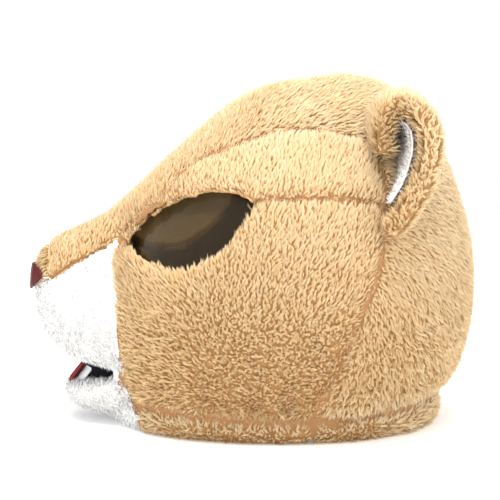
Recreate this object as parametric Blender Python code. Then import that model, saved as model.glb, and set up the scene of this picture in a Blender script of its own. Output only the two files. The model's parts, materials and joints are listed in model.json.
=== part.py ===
# Plush animal head mask, worn over the whole head.
# It is built the way it is sewn: one padded head form, a muzzle and a chin that stand out of it,
# and seams that part the padded cloth into its pattern pieces. Metres, +Z up, the face looks
# along -Y, and the animal's left side is +X.

import bpy
import bmesh
import numpy as np
from mathutils import Vector

# Whole mask
LENGTH = 0.390          # nose to back of the head
WIDTH = 0.340           # cheek to cheek
HEIGHT = 0.304          # hem to crown
HEAD_AXIS = 0.0744 * LENGTH     # the upright line through the widest part of the head
SNOUT_AXIS = -0.259 * LENGTH    # the upright line that the muzzle and chin sections turn about

# Cloth and trim
WALL = 0.009            # plush, foam and lining together
SEAM = 0.0004           # gap that a seam leaves between two padded pieces
CLEARANCE = 0.0003      # gap between trim and the cloth it lies on
LENS = 0.0018           # smoked plastic of the eyes
NOSE_PAD = 0.0024       # satin patch over the muzzle
LINING = 0.004          # black cloth inside the mouth
CHIN_THIN = 0.8         # the chin is padded this much of WALL
EAR_THICK = 0.017
EAR_OUTSIDE = 0.32      # share of EAR_THICK outside the surface that EAR gives
EAR_LINING = 0.003
EAR_BACKING = 0.0045     # clear of the flap, where the lining curves more tightly

# Finish
TAN = (0.80, 0.58, 0.34, 1)
WHITE = (0.88, 0.88, 0.86, 1)
MAROON = (0.24, 0.03, 0.035, 1)
BLACK = (0.01, 0.01, 0.012, 1)
TONGUE_RED = (0.35, 0.02, 0.03, 1)
SMOKE = (0.06, 0.04, 0.025, 1)

# Level sections of the head from hem to crown. The first three columns are the section's height
# at the front, side and back as shares of HEIGHT. The last three are how far it reaches from the
# axis to the front and back as shares of LENGTH, and to the side as a share of WIDTH.
HEAD = (
    (0.000, 0.000, 0.000, 0.398, 0.398, 0.345),  # hem
    (0.045, 0.032, 0.050, 0.412, 0.412, 0.353),  # middle of the neck band
    (0.088, 0.063, 0.100, 0.402, 0.400, 0.349),  # gathered seam above the band
    (0.116, 0.094, 0.132, 0.415, 0.432, 0.378),
    (0.190, 0.185, 0.200, 0.420, 0.470, 0.402),
    (0.290, 0.305, 0.295, 0.418, 0.499, 0.418),  # cheek
    (0.385, 0.415, 0.395, 0.410, 0.506, 0.425),
    (0.480, 0.515, 0.495, 0.400, 0.498, 0.420),
    (0.570, 0.610, 0.600, 0.378, 0.476, 0.403),  # eye
    (0.648, 0.700, 0.700, 0.346, 0.440, 0.377),
    (0.712, 0.780, 0.798, 0.302, 0.392, 0.346),
    (0.776, 0.848, 0.874, 0.246, 0.330, 0.308),
    (0.838, 0.904, 0.940, 0.192, 0.260, 0.258),
    (0.900, 0.946, 0.981, 0.133, 0.180, 0.204),
    (0.946, 0.972, 0.997, 0.071, 0.095, 0.128),  # crown
)
GATHER = 2              # row of HEAD that the seam above the band follows

# The muzzle's level sections from the upper lip to the bridge, in the same columns.
MUZZLE = (
    (0.172, 0.146, 0.146, 0.152, 0.158, 0.075),  # upper lip
    (0.215, 0.190, 0.190, 0.192, 0.192, 0.082),
    (0.250, 0.237, 0.237, 0.214, 0.212, 0.087),
    (0.296, 0.290, 0.290, 0.229, 0.219, 0.092),
    (0.342, 0.342, 0.342, 0.239, 0.213, 0.097),
    (0.382, 0.388, 0.388, 0.240, 0.196, 0.097),
    (0.421, 0.431, 0.431, 0.238, 0.170, 0.097),  # nose
    (0.460, 0.470, 0.470, 0.233, 0.140, 0.097),
    (0.496, 0.503, 0.503, 0.219, 0.117, 0.092),
    (0.526, 0.530, 0.530, 0.187, 0.108, 0.087),
    (0.552, 0.553, 0.553, 0.143, 0.102, 0.082),
    (0.576, 0.576, 0.576, 0.099, 0.102, 0.077),
    (0.604, 0.604, 0.604, 0.060, 0.108, 0.068),
    (0.632, 0.632, 0.632, 0.034, 0.116, 0.060),
    (0.660, 0.660, 0.660, 0.012, 0.122, 0.050),  # bridge
)

# The chin's level sections from its underside to the lower lip, in the same columns.
CHIN = (
    (0.030, 0.026, 0.020, 0.120, 0.118, 0.072),
    (0.044, 0.042, 0.040, 0.155, 0.154, 0.077),
    (0.068, 0.080, 0.072, 0.174, 0.174, 0.082),
    (0.092, 0.118, 0.110, 0.177, 0.178, 0.082),
    (0.112, 0.148, 0.140, 0.166, 0.168, 0.077),
    (0.118, 0.158, 0.150, 0.140, 0.142, 0.067),
)
ROUND_HEAD = 2.1        # 2 is an ellipse in plan, and more is squarer
ROUND_SNOUT = 2.35
OVAL = 2.0
CAP = 0.0015            # how far the ends of a form rise to their middle

# Seams as they run in the side view: shares of LENGTH along Y, and of HEIGHT up.
GUSSET_SEAM = (
    (-0.560, 0.340),
    (-0.485, 0.378),    # under the nose
    (-0.440, 0.425),
    (-0.400, 0.462),
    (-0.350, 0.492),
    (-0.313, 0.504),    # corner of bridge, brow, cheek and muzzle
    (-0.290, 0.549),
    (-0.241, 0.608),
    (-0.200, 0.657),
    (-0.158, 0.730),
    (-0.100, 0.768),
    (-0.018, 0.812),    # top of the brow
    (0.050, 0.838),
    (0.117, 0.836),
    (0.185, 0.820),
    (0.226, 0.806),     # under the top of the ear
    (0.248, 0.720),
    (0.252, 0.620),
    (0.240, 0.545),     # under the foot of the ear
    (0.228, 0.470),
    (0.210, 0.410),
    (0.182, 0.310),
    (0.166, 0.237),
    (0.151, 0.190),
    (0.116, 0.115),
    (0.106, 0.060),
    (0.100, -0.080),    # past the hem
)
GUSSET_CORNER = 5       # row where the brow, cheek and muzzle seams start
EAR_FOOT = 17           # row where the seam behind the eye meets the gusset
BROW_SEAM = (
    (-0.298, 0.520),
    (-0.284, 0.524),    # inner corner of the eye
    (-0.180, 0.540),
    (-0.050, 0.630),
    (-0.030, 0.645),    # outer corner of the eye
    (0.020, 0.658),
    (0.069, 0.653),
    (0.128, 0.658),
    (0.180, 0.650),
    (0.216, 0.646),
)
MUZZLE_SEAM = (
    (-0.322, 0.470),
    (-0.322, 0.420),
    (-0.312, 0.362),
    (-0.303, 0.300),
    (-0.297, 0.237),
    (-0.290, 0.171),
    (-0.280, 0.115),
    (-0.264, 0.085),
    (-0.257, 0.040),
    (-0.250, -0.080),   # past the hem
)
# The eye hole in the side view, round from its inner corner over the top.
EYE = (
    (-0.284, 0.523),    # inner corner
    (-0.262, 0.562),
    (-0.232, 0.606),
    (-0.180, 0.642),
    (-0.128, 0.668),
    (-0.085, 0.674),
    (-0.048, 0.664),
    (-0.026, 0.646),    # outer corner
    (-0.046, 0.588),
    (-0.084, 0.528),
    (-0.138, 0.480),
    (-0.185, 0.466),
    (-0.232, 0.478),
    (-0.264, 0.496),
)
# The open mouth in the side view: the gap between the lips, a wedge that ends at the corner.
MOUTH_FRONT, MOUTH_CORNER = -0.560, -0.276
LIP_UPPER, LIP_LOWER, LIP_CORNER = 0.232, 0.074, 0.146

# The nose patch seen from the front: shares of its half width, and of its height up from its foot.
NOSE_HALF, NOSE_FOOT, NOSE_TALL = 0.099 * WIDTH, 0.376 * HEIGHT, 0.072 * HEIGHT
NOSE_AHEAD, NOSE_BEHIND = 0.6, 0.4   # shares of LENGTH that the cutter spans
NOSE = (
    (0.00, 0.00),
    (0.35, 0.06),
    (0.70, 0.26),
    (0.98, 0.56),
    (0.82, 0.86),
    (0.45, 1.02),
    (0.00, 1.06),
)

# The left ear from its foot, up its back, over the top and down to the tip that folds forward.
# Shares of LENGTH along Y and of HEIGHT up, then the flap's middle and half width as shares of
# WIDTH, and how far its edges curl towards EAR_MIDDLE.
EAR = (
    (0.246, 0.546, 0.440, 0.045, 0.06),  # foot
    (0.288, 0.610, 0.425, 0.085, 0.10),
    (0.322, 0.681, 0.405, 0.110, 0.14),
    (0.342, 0.760, 0.390, 0.125, 0.18),
    (0.346, 0.826, 0.380, 0.128, 0.20),  # back
    (0.332, 0.884, 0.372, 0.122, 0.20),
    (0.302, 0.918, 0.366, 0.110, 0.18),  # top
    (0.272, 0.926, 0.362, 0.098, 0.16),
    (0.247, 0.908, 0.360, 0.088, 0.14),
    (0.233, 0.864, 0.360, 0.078, 0.12),
    (0.232, 0.812, 0.362, 0.064, 0.10),
    (0.242, 0.762, 0.366, 0.048, 0.08),  # tip of the fold
)
EAR_MIDDLE = (0.289, 0.790)
EAR_LINING_ROWS, EAR_LINING_SIDE = (1.0, 6.0), 0.66

# Mouth: plan reaches from SNOUT_AXIS as shares of LENGTH and WIDTH, and heights as shares of HEIGHT.
POCKET_REACH, POCKET_SIDE = 0.123, 0.150
TEETH_REACH, TEETH_SIDE, TEETH_HIGH, TEETH_HALF = 0.149, 0.160, 0.160, 0.074
TEETH_THICK = 0.0022
TONGUE_FRONT, TONGUE_BACK, TONGUE_HALF, TONGUE_HIGH = 0.1615, 0.1505, 0.057, 0.166
TONGUE_EDGE, TONGUE_TOP = 0.012, 0.6    # where its top starts to round off, and how wide the top is
TONGUE_ROUND = 20

# Faceting
HEAD_ROUND, HEAD_RISE = 40, 2
LINER_ROUND, LINER_RISE = 28, 1
SNOUT_ROUND = 24
EAR_ROUND, EAR_RISE = 7, 1.5
SEAM_STEP = 0.014
EYE_STEP, LENS_STEP = 0.008, 0.012
SMOOTH = 24             # points that a smooth line is read at between two rows
PAST = 0.03             # how far cutters run past what they cut
SPECK = 0.00002         # points this close after a cut are one
CRUMB = 0.03            # a cut body smaller than this is waste
SEAM_OVERLAP = 0.004    # how far a seam that ends on another runs over it

# How the cut pieces are told apart, as shares of HEIGHT
CROWN_ABOVE, BROW_ABOVE, BAND_BELOW = 0.95, 0.72, 0.13
LENS_MARGIN = 1.14      # the lens is this much larger than its hole


def start():
    for thing in list(bpy.data.objects):
        bpy.data.objects.remove(thing)
    made = []
    for name in ("plush_head_mask", "forms_and_cutters"):
        made.append(bpy.data.collections.new(name))
        bpy.context.scene.collection.children.link(made[-1])
    made[1].hide_render = True
    return made


PARTS, FORMS = start()


def material(name, colour, rough, metal=0.0, clear=0.0):
    made = bpy.data.materials.new(name)
    made.use_nodes = True
    shader = made.node_tree.nodes["Principled BSDF"]
    shader.inputs["Base Color"].default_value = colour
    shader.inputs["Roughness"].default_value = rough
    shader.inputs["Metallic"].default_value = metal
    shader.inputs["Transmission Weight"].default_value = clear
    return made


def link(name, mesh, collection):
    thing = bpy.data.objects.new(name, mesh)
    collection.objects.link(thing)
    return thing


def helper(name, points, faces):
    """A closed form or cutter, faces turned outwards."""
    mesh = bpy.data.meshes.new(name)
    mesh.from_pydata([tuple(p) for p in points], [], faces)
    bm = bmesh.new()
    bm.from_mesh(mesh)
    bmesh.ops.recalc_face_normals(bm, faces=bm.faces)
    if bm.calc_volume(signed=True) < 0:
        bmesh.ops.reverse_faces(bm, faces=bm.faces)
    bm.to_mesh(mesh)
    bm.free()
    thing = link(name, mesh, FORMS)
    thing.hide_render = True
    thing.display_type = "WIRE"
    return thing


def tidied(mesh):
    """The mesh in triangles, without the specks that a cut leaves."""
    bm = bmesh.new()
    bm.from_mesh(mesh)
    bmesh.ops.remove_doubles(bm, verts=bm.verts, dist=SPECK)
    bmesh.ops.dissolve_degenerate(bm, edges=bm.edges, dist=SPECK)
    bmesh.ops.triangulate(bm, faces=bm.faces)
    bm.to_mesh(mesh)
    bm.free()


def boolean(base, tools, operation, name):
    """The base after an exact Boolean with each tool in turn, as a new helper."""
    for tool in tools:
        step = base.modifiers.new("cut", "BOOLEAN")
        step.operation, step.solver, step.object = operation, "EXACT", tool
        graph = bpy.context.evaluated_depsgraph_get()
        mesh = bpy.data.meshes.new_from_object(base.evaluated_get(graph))
        base.modifiers.clear()
        tidied(mesh)
        base = link(name, mesh, FORMS)
        base.hide_render = True
        base.display_type = "WIRE"
    return base


def through(rows, where):
    """A smooth curve through table rows, read at fractional row numbers."""
    k = np.asarray(rows, float)
    last = len(k) - 1
    i = np.clip(np.floor(where).astype(int), 0, last - 1)
    f = (where - i)[:, None]
    one, two = k[i], k[i + 1]
    before = np.where((i == 0)[:, None], 2 * one - two, k[np.maximum(i - 1, 0)])
    after = np.where((i == last - 1)[:, None], 2 * two - one, k[np.minimum(i + 2, last)])
    return 0.5 * (2 * one + (two - before) * f + (2 * before - 5 * one + 4 * two - after) * f**2
                  + (3 * one - before - 3 * two + after) * f**3)


def sections(table, axis, squareness, around, rise):
    """Points of a form's level sections, a row for each section and a column for each way round."""
    rows = through(table, np.linspace(0, len(table) - 1, rise * (len(table) - 1) + 1))
    turn = np.linspace(0, 2 * np.pi, around, endpoint=False)
    ahead, aside = np.cos(turn), np.sin(turn)
    power = 2 / squareness
    out_y = np.sign(ahead) * np.abs(ahead) ** power
    out_x = np.sign(aside) * np.abs(aside) ** power
    front, side, back = np.maximum(ahead, 0) ** 2, aside**2, np.maximum(-ahead, 0) ** 2
    z = (rows[:, 0:1] * front + rows[:, 1:2] * side + rows[:, 2:3] * back) * HEIGHT
    x = rows[:, 4:5] * WIDTH * out_x
    y = axis - np.where(out_y > 0, rows[:, 3:4], rows[:, 5:6]) * LENGTH * out_y
    return np.stack([x, y, z], 2)


def grown(grid, by):
    """The sections moved out along their own normals."""
    rise = np.gradient(grid, axis=0)
    round_ = np.roll(grid, -1, 1) - np.roll(grid, 1, 1)
    normal = np.cross(round_, rise)
    normal /= np.maximum(np.linalg.norm(normal, axis=2, keepdims=True), 1e-12)
    middle = grid.mean(axis=(0, 1))
    if (normal * (grid - middle)).sum() < 0:
        normal = -normal
    return grid + by * normal


def form(name, grid, cap, open_foot=False, flat_foot=False):
    """A closed body from level sections, with a low cap over each end."""
    rows, around = grid.shape[:2]
    if open_foot:
        foot = grid[:1].copy()
        foot[:, :, 2] -= PAST
        grid = np.concatenate([foot, grid])
        rows += 1
    points = list(grid.reshape(-1, 3))
    faces = []
    for i in range(rows - 1):
        for j in range(around):
            k = (j + 1) % around
            faces.append((i * around + j, i * around + k, (i + 1) * around + k, (i + 1) * around + j))
    for row, lift in ((0, 0.0 if open_foot or flat_foot else -cap), (rows - 1, cap)):
        points.append(grid[row].mean(0) + np.array([0, 0, lift]))
        hub = len(points) - 1
        for j in range(around):
            faces.append((row * around + j, row * around + (j + 1) % around, hub))
    return helper(name, points, faces)


def head(name, inset, around=HEAD_ROUND, rise=HEAD_RISE, deeper=False):
    grid = grown(sections(HEAD, HEAD_AXIS, ROUND_HEAD, around, rise), -inset)
    return form(name, grid, CAP, deeper, True)


def snout(name, table, inset):
    """The muzzle or chin. An inset one is the hollow behind it, drawn in by the wall all round."""
    rows = np.asarray(table, float)
    low, high = rows[0, :3].max(), rows[-1, :3].min()
    share = np.clip((rows[:, :3] - low) / (high - low), 0, 1)
    rows[:, :3] += (1 - 2 * share) * inset / HEIGHT
    rows[:, 3:] -= inset / np.array([LENGTH, WIDTH, LENGTH])
    return form(name, sections(rows, SNOUT_AXIS, ROUND_SNOUT, SNOUT_ROUND, 1), CAP)


def curve(rows, step=SEAM_STEP, closed=False):
    """Evenly spaced side-view points in metres of a smooth line through table rows."""
    k = np.asarray(rows, float) * (LENGTH, HEIGHT)
    if closed:
        k = np.concatenate([k[-2:], k, k[:3]])
    dense = through(k, np.linspace(0, len(k) - 1, SMOOTH * (len(k) - 1) + 1))
    if closed:
        dense = dense[2 * SMOOTH: 1 - 2 * SMOOTH]
    along = np.concatenate([[0], np.cumsum(np.linalg.norm(np.diff(dense, axis=0), axis=1))])
    count = max(2, int(round(along[-1] / step)))
    at = np.linspace(0, along[-1], count + 1)
    line = np.stack([np.interp(at, along, dense[:, i]) for i in (0, 1)], 1)
    return line[:-1] if closed else line


def prism(name, outline, x0, x1):
    """A side-view outline (Y, Z) extruded from x0 to x1."""
    n = len(outline)
    points = [(x, y, z) for x in (x0, x1) for y, z in outline]
    faces = [tuple(range(n)), tuple(range(2 * n - 1, n - 1, -1))]
    faces += [(i, (i + 1) % n, n + (i + 1) % n, n + i) for i in range(n)]
    return helper(name, points, faces)


def blade(name, line, x0, x1):
    """A thin sheet along a side-view line, as wide as a seam."""
    way = np.gradient(line, axis=0)
    way /= np.linalg.norm(way, axis=1, keepdims=True)
    off = np.stack([-way[:, 1], way[:, 0]], 1) * SEAM / 2
    return prism(name, np.concatenate([line + off, (line - off)[::-1]]), x0, x1)


def pieces_of(thing):
    """The separate bodies of a mesh, as bmesh vertex sets' own meshes."""
    bm = bmesh.new()
    bm.from_mesh(thing.data)
    left, found = set(bm.verts), []
    while left:
        grow = [left.pop()]
        body = set(grow)
        while grow:
            for edge in grow.pop().link_edges:
                for v in edge.verts:
                    if v not in body:
                        body.add(v)
                        left.discard(v)
                        grow.append(v)
        found.append({v.index for v in body})
    bm.free()
    out = []
    for body in found:
        mesh = thing.data.copy()
        part = bmesh.new()
        part.from_mesh(mesh)
        bmesh.ops.delete(part, geom=[v for v in part.verts if v.index not in body], context="VERTS")
        part.to_mesh(mesh)
        part.free()
        out.append(mesh)
    return out


def centre(mesh):
    return sum((p.co for p in mesh.vertices), Vector()) / len(mesh.vertices)


def box(mesh):
    """Lowest and highest corner."""
    points = [p.co for p in mesh.vertices]
    return (Vector([min(p[i] for p in points) for i in range(3)]),
            Vector([max(p[i] for p in points) for i in range(3)]))


def volume(mesh):
    bm = bmesh.new()
    bm.from_mesh(mesh)
    found = bm.calc_volume()
    bm.free()
    return found


def biggest(thing):
    """The largest body of a cut form, without the crumbs."""
    return max(pieces_of(thing), key=volume)


def mirrored(mesh):
    """The same body on the other side of the head."""
    mesh = mesh.copy()
    for v in mesh.vertices:
        v.co.x = -v.co.x
    mesh.flip_normals()
    return mesh


def box_between(name, low, high):
    points = [(x, y, z) for x in (low[0], high[0]) for y in (low[1], high[1]) for z in (low[2], high[2])]
    return helper(name, points, [(0, 1, 3, 2), (4, 6, 7, 5), (0, 4, 5, 1), (2, 3, 7, 6), (0, 2, 6, 4), (1, 5, 7, 3)])


def upright(name, reach, half, low, high):
    """An upright oval drum about the snout's axis, between two shares of HEIGHT."""
    rows = [(z, z, z, reach / LENGTH, half / WIDTH, reach / LENGTH) for z in (low, high)]
    return form(name, sections(rows, SNOUT_AXIS, OVAL, SNOUT_ROUND, 1), CAP)


def sheet_solid(name, table, span, side, under, over):
    """A curled flap as a closed sheet between two distances from its middle surface."""
    where = np.linspace(span[0], span[1], int(EAR_RISE * (span[1] - span[0])) + 1)
    rows = through(table, where)
    across = np.linspace(-side, side, EAR_ROUND)[None, :]
    middle = np.array(EAR_MIDDLE)
    curl = rows[:, 4:5] * np.abs(across) ** 1.6
    y = (rows[:, 0:1] + (middle[0] - rows[:, 0:1]) * curl) * LENGTH
    z = (rows[:, 1:2] + (middle[1] - rows[:, 1:2]) * curl) * HEIGHT
    x = (rows[:, 2:3] + rows[:, 3:4] * across) * WIDTH + 0 * z
    grid = np.stack([x, y, z], 2)
    normal = np.cross(np.gradient(grid, axis=0), np.gradient(grid, axis=1))
    normal /= np.linalg.norm(normal, axis=2, keepdims=True)
    inward = np.array([0, middle[0] * LENGTH, middle[1] * HEIGHT]) - grid
    inward[:, :, 0] = 0
    if (normal * inward).sum() < 0:
        normal = -normal
    n, m = grid.shape[:2]
    points = np.concatenate([(grid + under * normal).reshape(-1, 3), (grid + over * normal).reshape(-1, 3)])
    faces = []
    for i in range(n - 1):
        for j in range(m - 1):
            a = i * m + j
            quad = (a, a + 1, a + m + 1, a + m)
            faces += [quad, tuple(v + n * m for v in quad[::-1])]
    rim = [j for j in range(m)] + [i * m + m - 1 for i in range(1, n)]
    rim += [(n - 1) * m + j for j in range(m - 2, -1, -1)] + [i * m for i in range(n - 2, 0, -1)]
    for a, b in zip(rim, rim[1:] + rim[:1]):
        faces.append((b, a, a + n * m, b + n * m))
    return helper(name, points, faces)


def finish(name, mesh, look, smooth=True):
    """A mesh as a named piece of the mask."""
    mesh = mesh.copy()
    mesh.name = name
    mesh.materials.clear()
    mesh.materials.append(look)
    for face in mesh.polygons:
        face.material_index = 0
        face.use_smooth = smooth
    return link(name, mesh, PARTS)


plush_tan = material("plush_tan", TAN, 0.95)
plush_white = material("plush_white", WHITE, 0.95)
nose_satin = material("nose_satin", MAROON, 0.45)
mouth_black = material("mouth_black", BLACK, 0.8)
tongue_felt = material("tongue_felt", TONGUE_RED, 0.85)
tooth_felt = material("tooth_felt", WHITE, 0.7)
smoked_lens = material("smoked_lens", SMOKE, 0.08, 0.0, 0.8)
ear_white = material("ear_white", WHITE, 0.95)

# Head, muzzle and chin forms
outer = boolean(head("head_form", 0.0), [
    snout("muzzle_form", MUZZLE, 0.0),
    snout("chin_form", CHIN, 0.0),
], "UNION", "outer_form")
inner = boolean(head("head_hollow", WALL, LINER_ROUND, LINER_RISE, True), [
    snout("muzzle_hollow", MUZZLE, WALL),
    snout("chin_hollow", CHIN, WALL * CHIN_THIN),
], "UNION", "inner_form")

# Mouth and eye holes
far_x = WIDTH / 2 + PAST
wedge = [(MOUTH_FRONT * LENGTH, LIP_LOWER * HEIGHT), (MOUTH_CORNER * LENGTH, LIP_CORNER * HEIGHT),
         (MOUTH_FRONT * LENGTH, LIP_UPPER * HEIGHT)]
mouth_hole = prism("mouth_hole", wedge, -far_x, far_x)
between = [(wedge[0][0], wedge[0][1] + CLEARANCE), (wedge[1][0] - CLEARANCE * 3, wedge[1][1]),
           (wedge[2][0], wedge[2][1] - CLEARANCE)]
mouth_space = prism("mouth_space", between, -far_x, far_x)
eye_line = curve(EYE, EYE_STEP, True)
eye_holes = [prism("eye_hole_left", eye_line, PAST, far_x),
             prism("eye_hole_right", eye_line, -far_x, -PAST)]
shell = boolean(outer, [inner, mouth_hole] + eye_holes, "DIFFERENCE", "shell")

# Seams
gather_line = sections(HEAD, HEAD_AXIS, ROUND_HEAD, HEAD_ROUND, 1)[GATHER]
gather_line = gather_line[: HEAD_ROUND // 2 + 1, 1:]
gather_line = np.concatenate([gather_line[:1] - (WALL, 0), gather_line, gather_line[-1:] + (PAST, 0)])
corner, foot = GUSSET_SEAM[GUSSET_CORNER], GUSSET_SEAM[EAR_FOOT]
beyond = (corner[0], corner[1] + SEAM_OVERLAP / HEIGHT)
behind = (foot[0] + SEAM_OVERLAP / LENGTH, foot[1])
blades = [
    blade("gusset_seam", curve(GUSSET_SEAM), -far_x, far_x),
    blade("brow_seam", curve((beyond,) + BROW_SEAM + (behind,)), -far_x, far_x),
    blade("muzzle_seam", curve((beyond,) + MUZZLE_SEAM), -far_x, far_x),
    blade("gather_seam", gather_line, -far_x, far_x),
]
lips = [(MOUTH_CORNER * LENGTH - WALL, LIP_CORNER * HEIGHT), (MOUTH_CORNER * LENGTH + PAST, LIP_CORNER * HEIGHT)]
blades.append(blade("lip_seam", np.array(lips), -far_x, far_x))
panels = boolean(shell, blades, "DIFFERENCE", "panels")

# The head's pieces, named by where they lie
for mesh in pieces_of(panels):
    c = centre(mesh)
    low, high = box(mesh)
    side = "left" if c.x > 0 else "right"
    across = low.x < 0 < high.x
    if (high - low).length < CRUMB:
        continue
    if across and high.z > CROWN_ABOVE * HEIGHT:
        finish("crown_and_back", mesh, plush_tan)
    elif across and c.y > 0:
        finish("neck_band_back", mesh, plush_tan)
    elif across and low.z > LIP_CORNER * HEIGHT - WALL:
        whole = link("muzzle", mesh, FORMS)
        middle = [(-LENGTH, HEIGHT), (-LENGTH, -PAST), (LENGTH, -PAST), (LENGTH, HEIGHT)]
        parting = prism("muzzle_parting", middle, -SEAM / 2, SEAM / 2)
        halves = boolean(whole, [parting], "DIFFERENCE", "muzzle_halves")
        whole.hide_render = True
        whole.display_type = "WIRE"
        for half in pieces_of(halves):
            finish("muzzle_left" if centre(half).x > 0 else "muzzle_right", half, plush_white)
    elif across:
        finish("chin", mesh, plush_white)
    elif high.z < BAND_BELOW * HEIGHT:
        finish(f"neck_band_{side}", mesh, plush_tan)
    elif high.z > BROW_ABOVE * HEIGHT:
        finish(f"brow_{side}", mesh, plush_tan)
    else:
        finish(f"cheek_{side}", mesh, plush_tan)

# Nose
outline = through([(-a, b) for a, b in NOSE[:0:-1]] + list(NOSE), np.linspace(0, 2 * len(NOSE) - 2, 25))
outline = [(a * NOSE_HALF, NOSE_FOOT + b * NOSE_TALL) for a, b in outline[:-1]]
n = len(outline)
stamp = helper("nose_outline", [(x, y, z) for y in (-LENGTH * NOSE_AHEAD, -LENGTH * NOSE_BEHIND) for x, z in outline],
               [tuple(range(n)), tuple(range(2 * n - 1, n - 1, -1))]
               + [(i, (i + 1) % n, n + (i + 1) % n, n + i) for i in range(n)])
nose = boolean(stamp, [snout("nose_outer", MUZZLE, -CLEARANCE - NOSE_PAD)], "INTERSECT", "nose_block")
nose = boolean(nose, [snout("nose_seat", MUZZLE, -CLEARANCE)], "DIFFERENCE", "nose_pad")
finish("nose", biggest(nose), nose_satin)

# Eye lenses, behind the holes
outside = head("lens_outer", WALL + CLEARANCE * 2, LINER_ROUND, LINER_RISE)
inside = head("lens_inner", WALL + CLEARANCE * 2 + LENS, LINER_ROUND, LINER_RISE)
lens_line = curve(EYE, LENS_STEP, True)
lens_line = lens_line.mean(0) + (lens_line - lens_line.mean(0)) * LENS_MARGIN
for side, x0, x1 in (("left", PAST, far_x), ("right", -far_x, -PAST)):
    stamp = prism(f"lens_outline_{side}", lens_line, x0, x1)
    lens = boolean(boolean(stamp, [outside], "INTERSECT", f"lens_block_{side}"), [inside],
                   "DIFFERENCE", f"lens_sheet_{side}")
    finish(f"lens_{side}", biggest(lens), smoked_lens)

# Inside of the mouth: everything here stays in the space between the lips
pocket = upright("pocket_outer", POCKET_REACH * LENGTH, POCKET_SIDE * WIDTH, 0, 1)
hollow = upright("pocket_inner", POCKET_REACH * LENGTH - LINING, POCKET_SIDE * WIDTH - LINING, -1, 2)
behind_it = box_between("pocket_back", (-WIDTH, SNOUT_AXIS - WALL, -PAST), (WIDTH, LENGTH, HEIGHT + PAST))
lining = boolean(boolean(pocket, [hollow, behind_it], "DIFFERENCE", "pocket_wall"), [mouth_space],
                 "INTERSECT", "lining")
finish("mouth_lining", biggest(lining), mouth_black)

row = upright("teeth_outer", TEETH_REACH * LENGTH, TEETH_SIDE * WIDTH, 0, TEETH_HIGH)
gum = upright("teeth_inner", TEETH_REACH * LENGTH - TEETH_THICK, TEETH_SIDE * WIDTH - TEETH_THICK, -1, 1)
sides = [box_between(f"teeth_end_{i}", (x0, -LENGTH, -PAST), (x1, LENGTH, HEIGHT))
         for i, (x0, x1) in enumerate(((-WIDTH, -TEETH_HALF * WIDTH), (TEETH_HALF * WIDTH, WIDTH)))]
teeth_back = box_between("teeth_back", (-WIDTH, SNOUT_AXIS, -PAST), (WIDTH, LENGTH, HEIGHT))
teeth = boolean(boolean(row, [gum, teeth_back] + sides, "DIFFERENCE", "teeth_row"), [mouth_space],
                "INTERSECT", "teeth_trimmed")
finish("teeth", biggest(teeth), tooth_felt)

reach = (TONGUE_FRONT - TONGUE_BACK) / 2
tongue_axis = SNOUT_AXIS - (TONGUE_FRONT + TONGUE_BACK) / 2 * LENGTH
tongue_table = [(z, z, z, reach * r, TONGUE_HALF * r, reach * r) for z, r in
                ((0, 1), (TONGUE_HIGH - TONGUE_EDGE, 1), (TONGUE_HIGH, TONGUE_TOP))]
tongue = form("tongue_form", sections(tongue_table, tongue_axis, OVAL, TONGUE_ROUND, 1), CAP)
finish("tongue", biggest(boolean(tongue, [mouth_space], "INTERSECT", "tongue_trimmed")), tongue_felt)

# Ears
clear_of_head = head("ear_clearance", -CLEARANCE)
outside_ear, inside_ear = EAR_THICK * EAR_OUTSIDE, EAR_THICK * (1 - EAR_OUTSIDE)
far = inside_ear + EAR_BACKING
flap = sheet_solid("ear_flap", EAR, (0, len(EAR) - 1), 1.0, -outside_ear, inside_ear)
pad = sheet_solid("ear_pad", EAR, EAR_LINING_ROWS, EAR_LINING_SIDE, far, far + EAR_LINING)
for name, thing, look in (("ear", flap, plush_tan), ("ear_lining", pad, ear_white)):
    trimmed = biggest(boolean(thing, [clear_of_head], "DIFFERENCE", f"{name}_trimmed"))
    finish(f"{name}_left", trimmed, look)
    finish(f"{name}_right", mirrored(trimmed), look)

# The origin is set in the middle of the footprint, on the ground
corners = [box(thing.data) for thing in PARTS.objects]
low = Vector([min(a[i] for a, b in corners) for i in range(3)])
high = Vector([max(b[i] for a, b in corners) for i in range(3)])
shift = Vector(((low.x + high.x) / 2, (low.y + high.y) / 2, low.z))
for thing in PARTS.objects:
    for point in thing.data.vertices:
        point.co -= shift
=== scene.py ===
# %% [markdown]
# # A plush animal head mask
# The real mask is sewn from deep tan plush with a white plush muzzle and chin. It is worn over the
# whole head, so it is a hollow, padded shell that stands on its hem when nobody wears it.
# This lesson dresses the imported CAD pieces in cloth, pile, smoked plastic, satin and felt.

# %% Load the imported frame
import json
import math

import bmesh
import bpy
import numpy as np
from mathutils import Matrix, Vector, kdtree, noise
from mathutils.bvhtree import BVHTree

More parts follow.
